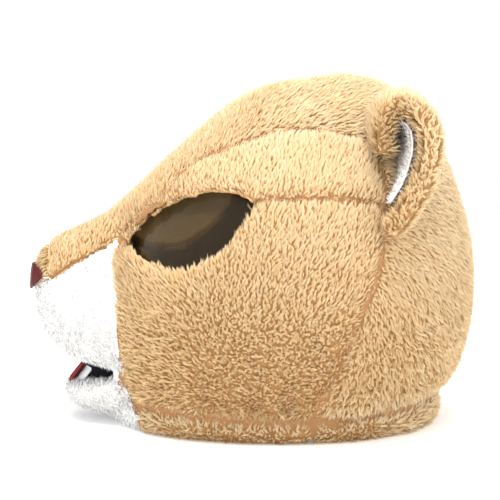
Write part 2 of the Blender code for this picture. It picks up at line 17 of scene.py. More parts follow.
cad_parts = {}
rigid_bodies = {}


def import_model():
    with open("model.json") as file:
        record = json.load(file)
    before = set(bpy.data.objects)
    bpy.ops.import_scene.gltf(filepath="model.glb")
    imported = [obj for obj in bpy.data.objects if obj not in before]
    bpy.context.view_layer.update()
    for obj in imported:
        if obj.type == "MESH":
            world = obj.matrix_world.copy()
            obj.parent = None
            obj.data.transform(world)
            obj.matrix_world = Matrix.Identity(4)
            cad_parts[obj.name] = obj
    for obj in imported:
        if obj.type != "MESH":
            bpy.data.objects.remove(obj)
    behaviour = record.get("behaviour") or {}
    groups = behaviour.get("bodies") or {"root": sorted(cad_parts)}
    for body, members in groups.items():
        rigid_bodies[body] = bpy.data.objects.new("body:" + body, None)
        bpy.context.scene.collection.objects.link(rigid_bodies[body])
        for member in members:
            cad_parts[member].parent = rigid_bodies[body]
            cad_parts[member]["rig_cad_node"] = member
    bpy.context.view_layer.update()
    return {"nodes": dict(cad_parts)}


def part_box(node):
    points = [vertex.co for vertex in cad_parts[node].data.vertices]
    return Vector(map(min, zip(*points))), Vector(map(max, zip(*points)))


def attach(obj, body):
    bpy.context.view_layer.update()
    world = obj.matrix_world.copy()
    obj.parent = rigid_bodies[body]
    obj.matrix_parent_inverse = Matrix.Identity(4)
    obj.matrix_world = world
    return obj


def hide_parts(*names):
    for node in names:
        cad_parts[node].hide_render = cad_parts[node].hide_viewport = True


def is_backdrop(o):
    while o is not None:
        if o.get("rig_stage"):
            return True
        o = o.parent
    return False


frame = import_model()

# %% [markdown]
# ## Camera
# The picture shows the animal's left side, almost square on and from a little above. A camera is
# placed by turning it round the mask (azimuth) and lifting it (elevation), and a long lens keeps
# the far ear about as large as the near one, as a studio photographer would.

# %% Place the camera
AZIMUTH, LIFT = math.radians(86.3), math.radians(5)
AIM = Vector((0, -0.001, 0.147))
DISTANCE, SPAN = 1.3, 0.445     # metres from the mask, and metres across the picture there

look = Vector((-math.sin(AZIMUTH) * math.cos(LIFT), math.cos(AZIMUTH) * math.cos(LIFT), -math.sin(LIFT)))
camera_data = bpy.data.cameras.new("studio_camera")
camera_data.sensor_width = 36
camera_data.lens = 36 * DISTANCE / SPAN
camera_data.clip_start = 0.05
camera = bpy.data.objects.new("studio_camera", camera_data)
bpy.context.scene.collection.objects.link(camera)
camera.location = AIM - look * DISTANCE
camera.rotation_euler = look.to_track_quat("-Z", "Y").to_euler()
bpy.context.scene.camera = camera
print("lens:", round(camera_data.lens, 1), "mm")

# %% [markdown]
# ## Studio
# The mask stands in a white studio: a broad soft light overhead, a weak one from the camera's side
# and white all round. The crown is nearly as bright as the background and the cheeks are darker, partly from the lights
# and partly from painted light in the pile's colour.

# %% A white room and soft lights
WHITE_ROOM = (1.0, 1.0, 1.0, 1)


def soft_light(name, place, size, watts, colour=(1, 1, 1)):
    data = bpy.data.lights.new(name, "AREA")
    data.shape, data.size, data.energy, data.color = "DISK", size, watts, colour
    lamp = bpy.data.objects.new(name, data)
    bpy.context.scene.collection.objects.link(lamp)
    lamp.location = place
    lamp.rotation_euler = (AIM - Vector(place)).to_track_quat("-Z", "Y").to_euler()
    return lamp


soft_light("overhead", (0.35, -0.15, 1.6), 1.3, 33.0, (1.0, 0.985, 0.96))
soft_light("camera_side", (1.7, -0.5, 0.75), 1.0, 9.0)
soft_light("far_side", (-1.2, 0.5, 0.9), 1.0, 7.0)
fill = soft_light("front_low", (0.3, -1.5, 0.35), 0.8, 4.0)
fill.visible_glossy = fill.visible_transmission = False     # it leaves no spot in the lenses
soft_light("behind", (0.75, 1.45, 0.8), 0.9, 13.0)

world = bpy.data.worlds.new("white_room")
world.use_nodes = True
room = world.node_tree.nodes
room["Background"].inputs["Color"].default_value = WHITE_ROOM
room["Background"].inputs["Strength"].default_value = 0.55
seen = room.new("ShaderNodeBackground")
seen.inputs["Color"].default_value = WHITE_ROOM
seen.inputs["Strength"].default_value = 1.0
path, choose = room.new("ShaderNodeLightPath"), room.new("ShaderNodeMixShader")
wires = world.node_tree.links
wires.new(path.outputs["Is Camera Ray"], choose.inputs[0])
wires.new(room["Background"].outputs[0], choose.inputs[1])
wires.new(seen.outputs[0], choose.inputs[2])
wires.new(choose.outputs[0], room["World Output"].inputs["Surface"])
bpy.context.scene.world = world
bpy.context.scene.view_settings.view_transform = "Standard"

# %% The floor
FLOOR_SIDE = 6.0


def new_object(name, bm, materials=(), smooth=True):
    """A bmesh as an object at the origin, with its materials."""
    mesh = bpy.data.meshes.new(name)
    for face in bm.faces:
        face.smooth = smooth
    bm.to_mesh(mesh)
    bm.free()
    for one in materials:
        mesh.materials.append(one)
    made = bpy.data.objects.new(name, mesh)
    bpy.context.scene.collection.objects.link(made)
    return made


def principled(name, rough=0.8, colour=(0.8, 0.8, 0.8, 1)):
    """A new material and its Principled shader."""
    made = bpy.data.materials.new(name)
    made.use_nodes = True
    shader = made.node_tree.nodes["Principled BSDF"]
    shader.inputs["Roughness"].default_value = rough
    shader.inputs["Base Color"].default_value = colour
    return made, shader


floor_paint, floor_shader = principled("floor_paper", 0.9, (0.93, 0.93, 0.93, 1))
floor_shader.inputs["Emission Strength"].default_value = 0.42
# The paper glows less near the mask, which paints a pool of shade round it, and the mask's own soft shadow also shows
# there.
floor_nodes, floor_wires = floor_paint.node_tree.nodes, floor_paint.node_tree.links
spot, away = floor_nodes.new("ShaderNodeTexCoord"), floor_nodes.new("ShaderNodeVectorMath")
away.operation = "LENGTH"
fade = floor_nodes.new("ShaderNodeMapRange")
fade.inputs["From Min"].default_value, fade.inputs["From Max"].default_value = 0.24, 0.70
fade.inputs["To Min"].default_value, fade.inputs["To Max"].default_value = 0.45, 1.0
floor_wires.new(spot.outputs["Object"], away.inputs[0])
floor_wires.new(away.outputs["Value"], fade.inputs["Value"])
floor_wires.new(fade.outputs["Result"], floor_shader.inputs["Emission Color"])
bm = bmesh.new()
bmesh.ops.create_grid(bm, x_segments=2, y_segments=2, size=FLOOR_SIDE / 2)
floor = new_object("floor", bm, [floor_paint], smooth=False)
floor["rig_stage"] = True

# %% [markdown]
# ## Cloth groups
# Pile is thousands of small tufts. A tuft is dark and warm at its root, where little light gets in,
# and pale at its tip. Each tuft's mesh carries a map whose U is how pale the tuft is and whose V runs
# from root to tip, so one small group colours the tan pile and the white pile alike.

# %% The pile colour group
PILE_MAP = "OFBake"


def group(name, inputs, outputs):
    """An empty shader node group with its sockets."""
    tree = bpy.data.node_groups.new(name, "ShaderNodeTree")
    for label, kind, value in inputs:
        socket = tree.interface.new_socket(label, in_out="INPUT", socket_type=kind)
        socket.default_value = value
    for label, kind in outputs:
        tree.interface.new_socket(label, in_out="OUTPUT", socket_type=kind)
    return tree, tree.nodes.new("NodeGroupInput"), tree.nodes.new("NodeGroupOutput")


def mix(tree, one, two, share, blend="MIX"):
    """A colour mix node. Each of one, two and share is an output or a plain value."""
    node = tree.nodes.new("ShaderNodeMix")
    node.data_type, node.blend_type = "RGBA", blend
    for socket, value in ((node.inputs[0], share), (node.inputs[6], one), (node.inputs[7], two)):
        if isinstance(value, bpy.types.NodeSocket):
            tree.links.new(value, socket)
        else:
            socket.default_value = value
    return node.outputs[2]


def ramp(tree, value, stops):
    """A grey ramp over value: stops are (place, brightness)."""
    node = tree.nodes.new("ShaderNodeValToRGB")
    while len(node.color_ramp.elements) < len(stops):
        node.color_ramp.elements.new(0.5)
    for element, (place, grey) in zip(node.color_ramp.elements, stops):
        element.position, element.color = place, (grey, grey, grey, 1)
    tree.links.new(value, node.inputs[0])
    return node.outputs[0]


COLOUR, VALUE, VECTOR = "NodeSocketColor", "NodeSocketFloat", "NodeSocketVector"
SHADES = ("Root", "Middle", "Tip", "Pale root", "Pale middle", "Pale tip")
pile_tree, pile_in, pile_out = group(
    "pile_colour", [(label, COLOUR, (0.7, 0.5, 0.3, 1)) for label in SHADES], (("Colour", COLOUR),))
uv = pile_tree.nodes.new("ShaderNodeUVMap")
uv.uv_map = PILE_MAP
split = pile_tree.nodes.new("ShaderNodeSeparateXYZ")
pile_tree.links.new(uv.outputs[0], split.inputs[0])
near_root = ramp(pile_tree, split.outputs[1], ((0.08, 0), (0.5, 1)))
near_tip = ramp(pile_tree, split.outputs[1], ((0.45, 0), (0.95, 1)))
runs = []
for root, middle, tip in (SHADES[:3], SHADES[3:]):
    lower = mix(pile_tree, pile_in.outputs[root], pile_in.outputs[middle], near_root)
    runs.append(mix(pile_tree, lower, pile_in.outputs[tip], near_tip))
pile_tree.links.new(mix(pile_tree, runs[0], runs[1], split.outputs[0]), pile_out.inputs["Colour"])

# %% [markdown]
# ## Pile and backing materials
# The pile is matt with a soft sheen at grazing angles. The knitted backing under it, seen only where
# tufts part, is a warm brown. The lining inside the tan panels is a dark brown knit, and a plain black knit lines the
# mouth.

# %% Pile materials
PILES = {
    # name: root, middle, tip, then the same in the palest tufts
    "tan": ((0.19, 0.090, 0.028), (0.74, 0.505, 0.235), (0.97, 0.82, 0.53),
            (0.74, 0.56, 0.30), (0.95, 0.83, 0.56), (0.98, 0.91, 0.74)),
    "white": ((0.95, 0.95, 0.95), (0.99, 0.99, 0.99), (1.0, 1.0, 1.0),
              (0.97, 0.97, 0.97), (1.0, 1.0, 1.0), (1.0, 1.0, 1.0)),
}


def use_group(made, tree, values, output, socket):
    """Places a group in a material with its own values and wires one output to a shader socket."""
    nodes = made.node_tree.nodes
    node = nodes.new("ShaderNodeGroup")
    node.node_tree = tree
    for label, value in values.items():
        node.inputs[label].default_value = value
    made.node_tree.links.new(node.outputs[output], socket)
    return node


GLOW = 0.45         # share of the light that passes through a fibre


def pile_material(name, row, glow):
    made, shader = principled(name, 0.85)
    use_group(made, pile_tree, dict(zip(SHADES, [c + (1,) for c in row])), "Colour", shader.inputs["Base Color"])
    shader.inputs["Sheen Weight"].default_value = 0.2
    shader.inputs["Sheen Roughness"].default_value = 0.4
    shader.inputs["Specular IOR Level"].default_value = 0.2
    nodes, wires = made.node_tree.nodes, made.node_tree.links
    through, both = nodes.new("ShaderNodeBsdfTranslucent"), nodes.new("ShaderNodeMixShader")
    both.inputs[0].default_value = GLOW
    through.inputs["Color"].default_value = glow + (1,)
    wires.new(shader.outputs[0], both.inputs[1])
    wires.new(through.outputs[0], both.inputs[2])
    wires.new(both.outputs[0], nodes["Material Output"].inputs["Surface"])
    return made


tan_pile = pile_material("tan_pile", PILES["tan"], (0.92, 0.74, 0.45))
white_pile = pile_material("white_pile", PILES["white"], (0.98, 0.98, 0.98))

# %% Knitted backing
knit_tree, knit_in, knit_out = group(
    "knit", (("Dark", COLOUR, (0.3, 0.2, 0.1, 1)), ("Light", COLOUR, (0.5, 0.3, 0.2, 1)),
             ("Size", VALUE, 900.0)),
    (("Colour", COLOUR), ("Height", VALUE)))
place = knit_tree.nodes.new("ShaderNodeTexCoord")
loops = knit_tree.nodes.new("ShaderNodeTexVoronoi")
patch = knit_tree.nodes.new("ShaderNodeTexNoise")
patch.inputs["Scale"].default_value = 60
knit_tree.links.new(place.outputs["Object"], loops.inputs["Vector"])
knit_tree.links.new(place.outputs["Object"], patch.inputs["Vector"])
knit_tree.links.new(knit_in.outputs["Size"], loops.inputs["Scale"])
blended = mix(knit_tree, loops.outputs["Distance"], patch.outputs["Fac"], 0.5)
knit_tree.links.new(mix(knit_tree, knit_in.outputs["Dark"], knit_in.outputs["Light"], blended),
                    knit_out.inputs["Colour"])
knit_tree.links.new(loops.outputs["Distance"], knit_out.inputs["Height"])


def cloth_material(name, dark, light, size=900.0, rough=0.9, depth=0.0004):
    made, shader = principled(name, rough)
    shader.inputs["Specular IOR Level"].default_value = 0.15
    node = use_group(made, knit_tree, {"Dark": dark + (1,), "Light": light + (1,), "Size": size},
                     "Colour", shader.inputs["Base Color"])
    bump = made.node_tree.nodes.new("ShaderNodeBump")
    bump.inputs["Distance"].default_value = depth
    made.node_tree.links.new(node.outputs["Height"], bump.inputs["Height"])
    made.node_tree.links.new(bump.outputs["Normal"], shader.inputs["Normal"])
    return made


tan_backing = cloth_material("tan_backing", (0.34, 0.175, 0.064), (0.57, 0.35, 0.165))
white_backing = cloth_material("white_backing", (0.75, 0.74, 0.73), (0.92, 0.91, 0.90))
foam_cloth = cloth_material("foam_cloth", (0.30, 0.15, 0.06), (0.46, 0.26, 0.12))
tan_lining = cloth_material("tan_lining", (0.26, 0.14, 0.06), (0.42, 0.25, 0.12), 1200.0)
black_lining = cloth_material("black_lining", (0.001, 0.001, 0.002), (0.005, 0.005, 0.008), 1200.0)

# %% [markdown]
# ## Padded panels
# Each panel of the real mask is plush, foam and lining sewn together. A copy of the CAD panel is
# remeshed into small even squares, its outer side is drawn in by the depth of the pile, and its
# edges sink towards the seams, as foam does where a stitch pulls it down.

# %% Measures of the padding
VOXEL = 0.0042          # side of the squares
PILE_DEPTH = 0.0030     # how far the pile stands out of the backing
SEAM_SINK, SEAM_REACH = 0.0013, 0.0052
GATHER_SINK = 0.0024    # the gathered seam above the hem band is drawn in further


def soft_copy(node, name, voxel, smooth=4, shrink=0.0, source=None):
    """A merged, remeshed and smoothed copy of a CAD node, or of a bmesh, as a bmesh."""
    mesh = bpy.data.meshes.new(name)
    bm = source or bmesh.new()
    if source is None:
        bm.from_mesh(frame["nodes"][node].data)
    bmesh.ops.remove_doubles(bm, verts=bm.verts, dist=1e-5)
    bm.to_mesh(mesh)
    bm.free()
    thing = bpy.data.objects.new(name, mesh)
    bpy.context.scene.collection.objects.link(thing)
    step = thing.modifiers.new("even", "REMESH")
    step.mode, step.voxel_size = "VOXEL", voxel
    graph = bpy.context.evaluated_depsgraph_get()
    even = bpy.data.meshes.new_from_object(thing.evaluated_get(graph))
    bpy.data.objects.remove(thing)
    bm = bmesh.new()
    bm.from_mesh(even)
    for _ in range(smooth):
        bmesh.ops.smooth_vert(bm, verts=bm.verts, factor=0.5, use_axis_x=True, use_axis_y=True, use_axis_z=True)
    if shrink:
        bm.normal_update()
        for v in bm.verts:
            v.co -= v.normal * shrink
    return bm


def arrays(bm):
    """Points and normals of a bmesh as arrays."""
    bm.normal_update()
    return (np.array([v.co for v in bm.verts]), np.array([v.normal for v in bm.verts]))


# %% Gathers above the hem
GATHER_FRONT, GATHER_BACK = 0.027, 0.029    # height of the gathered seam
GATHER_DEPTH, GATHER_REACH = 0.0018, 0.014
HEAD_MIDDLE = Vector((0, 0.029, 0.14))


def gather_wave(points):
    """How far the cloth is puckered in or out at each point near the gathered seam."""
    around = np.arctan2(points[:, 0], -(points[:, 1] - HEAD_MIDDLE.y))
    wave = (np.sin(around * 23 + 1.3 * np.sin(around * 5)) + 0.6 * np.sin(around * 37 + 2 * np.sin(around * 7 + 1)))
    fade = np.exp(-((points[:, 2] - GATHER_FRONT) / GATHER_REACH) ** 2)
    return GATHER_DEPTH * 0.6 * wave * fade


# %% The slanting fold behind the rear seam
FOLD_LOW, FOLD_HIGH = np.array((0.076, 0.030)), np.array((0.116, 0.078))    # its ends, along Y and up
FOLD_DEPTH, FOLD_REACH = 0.0042, 0.0085


def side_fold(points):
    """How far the cloth stands out along the fold that rises backwards from the foot of the rear seam."""
    way = FOLD_HIGH - FOLD_LOW
    share = np.clip(((points[:, 1:] - FOLD_LOW) @ way) / (way @ way), 0, 1)
    off = np.linalg.norm(points[:, 1:] - FOLD_LOW - share[:, None] * way, axis=1)
    return FOLD_DEPTH * np.exp(-(off / FOLD_REACH) ** 2) * (1 - 0.6 * share)


# %% Build one padded panel
FLOOR_GAP = 0.0004      # nothing goes below the floor
RIM_FACING = 0.12
RIM_CLOSE = 0.0013
RIM_PILE = -0.45        # pile also grows on the rolled rim, and closes over the seam


def nearest(points, among):
    """For each point the nearest of some of the points, and how far it is."""
    tree = kdtree.KDTree(len(among))
    for i in among:
        tree.insert(points[i], int(i))
    tree.balance()
    found = [tree.find(p) for p in points]
    return np.array([f[1] for f in found]), np.array([f[2] for f in found])


def is_under_nose(points):
    """The corner of the bridge below the nose, where white plush runs up to the satin."""
    return (points[:, 1] < -0.171) & (points[:, 2] < 0.1275)


def panel(node, name, centre, slot_name, pile_backing, voxel=VOXEL, gathers=False, both=False, inset=PILE_DEPTH):
    """A padded panel that stands for a CAD node. Returns the object and which of its points face out."""
    bm = soft_copy(node, name, voxel)
    points, normals = arrays(bm)
    out = points - np.array(centre)
    out /= np.linalg.norm(out, axis=1, keepdims=True)
    facing = (normals * out).sum(1)
    if both:
        outer, to_rim, way = np.ones(len(points), bool), np.ones(len(points)), normals
    else:
        outer = facing > RIM_FACING
        to_rim = nearest(points, np.flatnonzero(np.abs(facing) <= RIM_FACING))[1]
        # Near a rim the normal looks along the cloth, so the cloth's own direction comes from further in.
        inland = nearest(points, np.flatnonzero((facing > 0.5) & (to_rim > 0.006)))[0]
        way = normals[inland]
    sink = SEAM_SINK * (0.3 if slot_name == "plush_white" else 1.0)
    if slot_name == "plush_tan":
        sink = sink + np.where((points[:, 2] > 0.012) & (points[:, 2] < 0.045), GATHER_SINK, 0.0)
    moved = np.where(outer, -inset - sink * np.exp(-(to_rim / SEAM_REACH) ** 2), 0.0)
    if gathers:
        moved += np.where(outer, gather_wave(points), 0.0)
    if node == "crown_and_back":
        moved += np.where(outer, side_fold(points), 0.0)
    shift = way * moved[:, None]
    if not both:    # remeshing draws the rims back from their seams, and this closes them again
        shift += np.where(np.abs(facing) < 0.6, RIM_CLOSE, 0.0)[:, None] * normals
    for v, by in zip(bm.verts, shift):
        v.co += Vector(by)
    for _ in range(2):
        bmesh.ops.smooth_vert(bm, verts=bm.verts, factor=0.4, use_axis_x=True, use_axis_y=True, use_axis_z=True)
    for v in bm.verts:
        v.co.z = max(v.co.z, FLOOR_GAP)
    inward = (facing < -0.35).tolist() if not both else [False] * len(points)
    under_nose = (is_under_nose(points) & (node == "crown_and_back")).tolist()
    for face in bm.faces:
        face.material_index = 1 if all(inward[v.index] for v in face.verts) else 0
        if all(under_nose[v.index] for v in face.verts):
            face.material_index = 2
    linings = [tan_lining if slot_name == "plush_tan" else white_backing, white_backing]
    made = new_object(name, bm, [pile_backing] + linings)
    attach(made, "root")
    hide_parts(node)
    return made, outer | (facing > RIM_PILE), to_rim


HEAD_CENTRE, MUZZLE_CENTRE, CHIN_CENTRE = (0, 0.03, 0.12), (0, -0.09, 0.09), (0, -0.09, 0.03)
PANELS = (
    # node, centre it faces away from, slot, backing, gathered
    ("crown_and_back", HEAD_CENTRE, "plush_tan", tan_backing, False),
    ("brow_left", HEAD_CENTRE, "plush_tan", tan_backing, False),
    ("brow_right", HEAD_CENTRE, "plush_tan", tan_backing, False),
    ("cheek_left", HEAD_CENTRE, "plush_tan", tan_backing, True),
    ("cheek_right", HEAD_CENTRE, "plush_tan", tan_backing, True),
    ("muzzle_left", MUZZLE_CENTRE, "plush_white", white_backing, False),
    ("muzzle_right", MUZZLE_CENTRE, "plush_white", white_backing, False),
    ("chin", CHIN_CENTRE, "plush_white", white_backing, False),
    ("neck_band_left", (0, 0.03, 0.02), "plush_tan", tan_backing, True),
    ("neck_band_right", (0, 0.03, 0.02), "plush_tan", tan_backing, True),
    ("neck_band_back", (0, 0.03, 0.02), "plush_tan", tan_backing, True),
)
skins = {}
for node, centre, slot_name, backing, gathered in PANELS:
    skins[node] = panel(node, f"{node}_panel", centre, slot_name, backing, gathers=gathered)
for side in ("left", "right"):
    skins[f"ear_{side}"] = panel(f"ear_{side}", f"ear_{side}_panel", (0, 0, 0), "plush_tan", tan_backing,
                                 voxel=0.0024, both=True)
    skins[f"ear_lining_{side}"] = panel(f"ear_lining_{side}", f"ear_lining_{side}_panel", (0, 0, 0), "ear_white",
                                        white_backing, voxel=0.0015, both=True, inset=0.0005)
print("padded panels:", len(skins), "faces:", sum(len(s[0].data.polygons) for s in skins.values()))

# %% [markdown]
# ## Foam under the seams
# A stitched seam never lets light through, because foam and lining run on behind it. One thin inner
# layer, remeshed from all the panels together and drawn in, closes every seam from behind.

# %% The foam layer
FOAM_VOXEL, FOAM_INSET = 0.005, 0.0034
WHITE_FRONT = -0.117    # ahead of this, and below the bridge, the layer lies under white plush
BRIDGE_LOW, BRIDGE_SLOPE = 0.1606, 0.62


def foam_layer():
    joined = bmesh.new()
    for node, *_ in PANELS:
        joined.from_mesh(frame["nodes"][node].data)
    bm = soft_copy(None, "foam", FOAM_VOXEL, smooth=3, shrink=FOAM_INSET, source=joined)
    bm.normal_update()
    for face in bm.faces:
        at = face.calc_center_median()
        white = at.y < WHITE_FRONT and at.z < BRIDGE_LOW + BRIDGE_SLOPE * (at.y - WHITE_FRONT)
        face.material_index = 1 if white else 0
    for v in bm.verts:
        v.co.z = max(v.co.z, FOAM_INSET)
    made = new_object("foam_layer", bm, [foam_cloth, white_backing])
    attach(made, "root")
    print("foam layer faces:", len(made.data.polygons))


foam_layer()

# %% [markdown]
# ## Pile
# Plush pile is cut yarn: each tuft is a few fibres that start apart and lean together, like a grain
# of rice lying on the cloth. Hair particles aren't kept by other programs, so each fibre is a
# narrow pointed leaf of two triangles, bent at its middle, and a tuft is a few leaves. Tufts are spread evenly over the
# cloth, lean along its nap, and their shading normals are bent towards the cloth's own normal, which
# gives the soft look of fur.

# %% Spread tuft sites evenly
def sites(skin, outer, to_rim, spacing, rng):
    """Evenly spread places on the outward side of a panel: points, normals and distance to its rim."""
    mesh = skin.data
    mesh.calc_loop_triangles()
    co, no = np.empty(len(mesh.vertices) * 3), np.empty(len(mesh.vertices) * 3)
    mesh.vertices.foreach_get("co", co)
    mesh.vertices.foreach_get("normal", no)
    co, no = co.reshape(-1, 3), no.reshape(-1, 3)
    tri = np.empty(len(mesh.loop_triangles) * 3, np.int32)
    mesh.loop_triangles.foreach_get("vertices", tri)
    tri = tri.reshape(-1, 3)
    tri = tri[outer[tri].all(1)]
    area = np.linalg.norm(np.cross(co[tri[:, 1]] - co[tri[:, 0]], co[tri[:, 2]] - co[tri[:, 0]]), axis=1) / 2
    count = int(area.sum() / spacing**2 * 3)
    which = rng.choice(len(tri), count, p=area / area.sum())
    a, b = rng.random(count), rng.random(count)
    flip = a + b > 1
    a[flip], b[flip] = 1 - a[flip], 1 - b[flip]
    weights = np.stack([1 - a - b, a, b], 1)[:, :, None]
    p = (co[tri[which]] * weights).sum(1)
    n = (no[tri[which]] * weights).sum(1)
    n /= np.linalg.norm(n, axis=1, keepdims=True)
    rim = (to_rim[tri[which]] * weights[:, :, 0]).sum(1)
    tree = kdtree.KDTree(count)
    for i, q in enumerate(p):
        tree.insert(q, i)
    tree.balance()
    gone = np.zeros(count, bool)
    keep = []
    for i in range(count):
        if gone[i]:
            continue
        keep.append(i)
        for _, j, _ in tree.find_range(p[i], spacing):
            gone[j] = True
    return p[keep], n[keep], rim[keep]


# %% [markdown]
# The nap is the way the pile lies. The long middle panel is one strip of plush whose nap runs from
# the nose over the crown and down the back. On the cheeks and brows it runs up, so the lower edge of
# the eye hole is fringed by tips and the upper edge is smooth.

# %% The nap
def smooth_step(x, low, high):
    t = np.clip((x - low) / (high - low), 0, 1)
    return t * t * (3 - 2 * t)


def unit(v):
    return v / np.maximum(np.linalg.norm(v, axis=1, keepdims=True), 1e-9)


def comb(p, n, node):
    """The direction along the cloth in which the pile lies at each place."""
    y, z = p[:, 1], p[:, 2]
    zero, one = np.zeros(len(p)), np.ones(len(p))
    if node == "crown_and_back":
        over_nose = smooth_step(-y, 0.174, 0.180)[:, None]     # a fringe lies over the nose's edge
        flow = np.stack([zero, z - 0.11, 0.03 - y], 1)
        flow = unit(flow) * (1 - over_nose) + over_nose * np.array([0.0, -0.5, -1.0])
    elif node.startswith(("muzzle", "chin")):
        flow = np.stack([zero, one, 0.3 * one], 1)
    else:
        sway = 0.25 - 0.75 * smooth_step(-y, 0.03, 0.08) * smooth_step(0.17 - z, 0.0, 0.03)
        sway -= 1.0 * smooth_step(y, -0.01, 0.05) * smooth_step(0.11 - z, 0.0, 0.04) * smooth_step(0.11 - y, 0, 0.03)
        flow = np.stack([zero, sway, one], 1)
    flow = unit(flow)
    flow -= n * (flow * n).sum(1, keepdims=True)
    return unit(flow)


def patches(p, size, seed):
    """Slow smooth variation between 0 and 1 over the cloth."""
    shift = Vector((seed * 3.1, seed * 1.7, seed * 2.3))
    return np.array([noise.noise(Vector(q) / size + shift) for q in p]) * 0.5 + 0.5


# %% Build the tufts of one panel
LEVELS = 64
STYLES = {
    # length, fibres, lean in degrees, stray, half width, spread, spacing
    "long": (0.0066, 5, 65, 0.28, 0.00040, 0.00068, 0.00158),
    "short": (0.0050, 5, 55, 0.35, 0.00048, 0.0006, 0.0018),
    "fine": (0.0034, 4, 45, 0.5, 0.00042, 0.0005, 0.0019),
}


def tufts(name, p, n, nap, style, made_of, rng, scale=None, ruffle=None, tone_and_painted_light=None, upright=None):
    """One mesh of pointed leaves, rooted at p and lying along nap."""
    length, fibres, lean, stray, half, spread, _ = STYLES[style]
    count = len(p)
    scale = np.ones(count) if scale is None else scale
    ruffle = np.zeros(count) if ruffle is None else ruffle
    upright = np.zeros(count) if upright is None else upright
    side = np.cross(n, nap)
    turn = rng.normal(0, 1, count) * (stray + 0.55 * ruffle)
    along = np.cos(turn)[:, None] * nap + np.sin(turn)[:, None] * side
    across = np.cross(n, along)
    tilt = np.radians(lean) * (1 - 0.75 * upright) - 0.22 * ruffle + rng.normal(0, 0.12, count)
    reach = length * scale * (1 + rng.normal(0, 0.13, count))
    pale = np.clip((tone_and_painted_light if tone_and_painted_light is not None else np.full(count, 0.5)) + rng.normal(0, 0.16, count), 0.02, 0.98)

    def each(a):
        return np.repeat(a, fibres, axis=0)

    total = count * fibres
    angle = np.tile(np.arange(fibres) * 2 * np.pi / fibres, count) + each(rng.random(count) * 6.28)
    off = np.cos(angle)[:, None] * each(along) + np.sin(angle)[:, None] * each(across)
    start = each(p) + off * spread - each(n) * 0.0006
    tilt, reach = each(tilt) + rng.normal(0, 0.08, total), each(reach) * (1 + rng.normal(0, 0.1, total))
    n2, along2, across2 = each(n), each(along), each(across)
    way = np.sin(tilt)[:, None] * along2 + np.cos(tilt)[:, None] * n2
    rise = np.sin(tilt * 0.62)[:, None] * along2 + np.cos(tilt * 0.62)[:, None] * n2
    middle = start + rise * (reach * 0.48)[:, None]
    tip = each(p) + unit(rise + way) * reach[:, None] * 0.98 + off * spread * 0.45 \
        + across2 * rng.normal(0, 0.0004, total)[:, None]
    forward = unit(tip - start)
    flat = unit(np.cross(n2, forward))
    twist = rng.normal(0, 0.3, total)
    edge = np.cos(twist)[:, None] * flat + np.sin(twist)[:, None] * np.cross(forward, flat)
    wide = (half * (1 + rng.normal(0, 0.15, total)))[:, None] * edge
    co = np.stack([start, middle - wide, middle + wide, tip], 1)
    co[:, :, 2] = np.maximum(co[:, :, 2], FLOOR_GAP)
    face_normal = unit(np.cross(forward, edge))
    face_normal *= np.sign((face_normal * n2).sum(1, keepdims=True))
    soft = 0.7 * n2 + 0.3 * face_normal + 0.35 * off
    normal = np.stack([unit(soft + s * edge) for s in (0.0, -0.45, 0.45, 0.0)], 1)

    base = np.arange(total)[:, None] * 4
    faces = np.concatenate([base + [0, 1, 2], base + [1, 3, 2]], 1).reshape(-1, 3)
    mesh = bpy.data.meshes.new(name)
    mesh.vertices.add(total * 4)
    mesh.vertices.foreach_set("co", co.reshape(-1).astype(np.float32))
    mesh.loops.add(len(faces) * 3)
    mesh.loops.foreach_set("vertex_index", faces.reshape(-1).astype(np.int32))
    mesh.polygons.add(len(faces))
    mesh.polygons.foreach_set("loop_start", np.arange(0, len(faces) * 3, 3, dtype=np.int32))
    mesh.update(calc_edges=True)
    mesh.polygons.foreach_set("use_smooth", np.ones(len(faces), bool))
    level = np.floor(np.clip(each(pale) + rng.normal(0, 0.07, total), 0.0, 0.999) * LEVELS)
    u = (level[:, None] + 0.5 + np.array([0.0, -0.3, 0.3, 0.0])) / LEVELS
    v = np.tile(np.array([0.03, 0.5, 0.5, 0.97]), (total, 1))
    layer = mesh.uv_layers.new(name=PILE_MAP)
    corner = faces.reshape(-1)
    layer.data.foreach_set("uv", np.stack([u.reshape(-1)[corner], v.reshape(-1)[corner]], 1).reshape(-1).astype(np.float32))
    mesh.materials.append(made_of)
    mesh.normals_split_custom_set_from_vertices(normal.reshape(-1, 3).astype(np.float32))
    made = bpy.data.objects.new(name, mesh)
    bpy.context.scene.collection.objects.link(made)
    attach(made, "root")
    return made


# %% Grow the pile
SEAM_PART = 0.0012      # how close to a seam no tuft stands
MOST_TUFTS = 19500      # in one mesh, to stay under 200,000 triangles
rng = np.random.default_rng(7)
total_tufts = 0
EYE_MIDDLE = np.array([0.0, -0.062, 0.170])
EAR_HOLLOW = np.array([0.0, 0.113, 0.240])


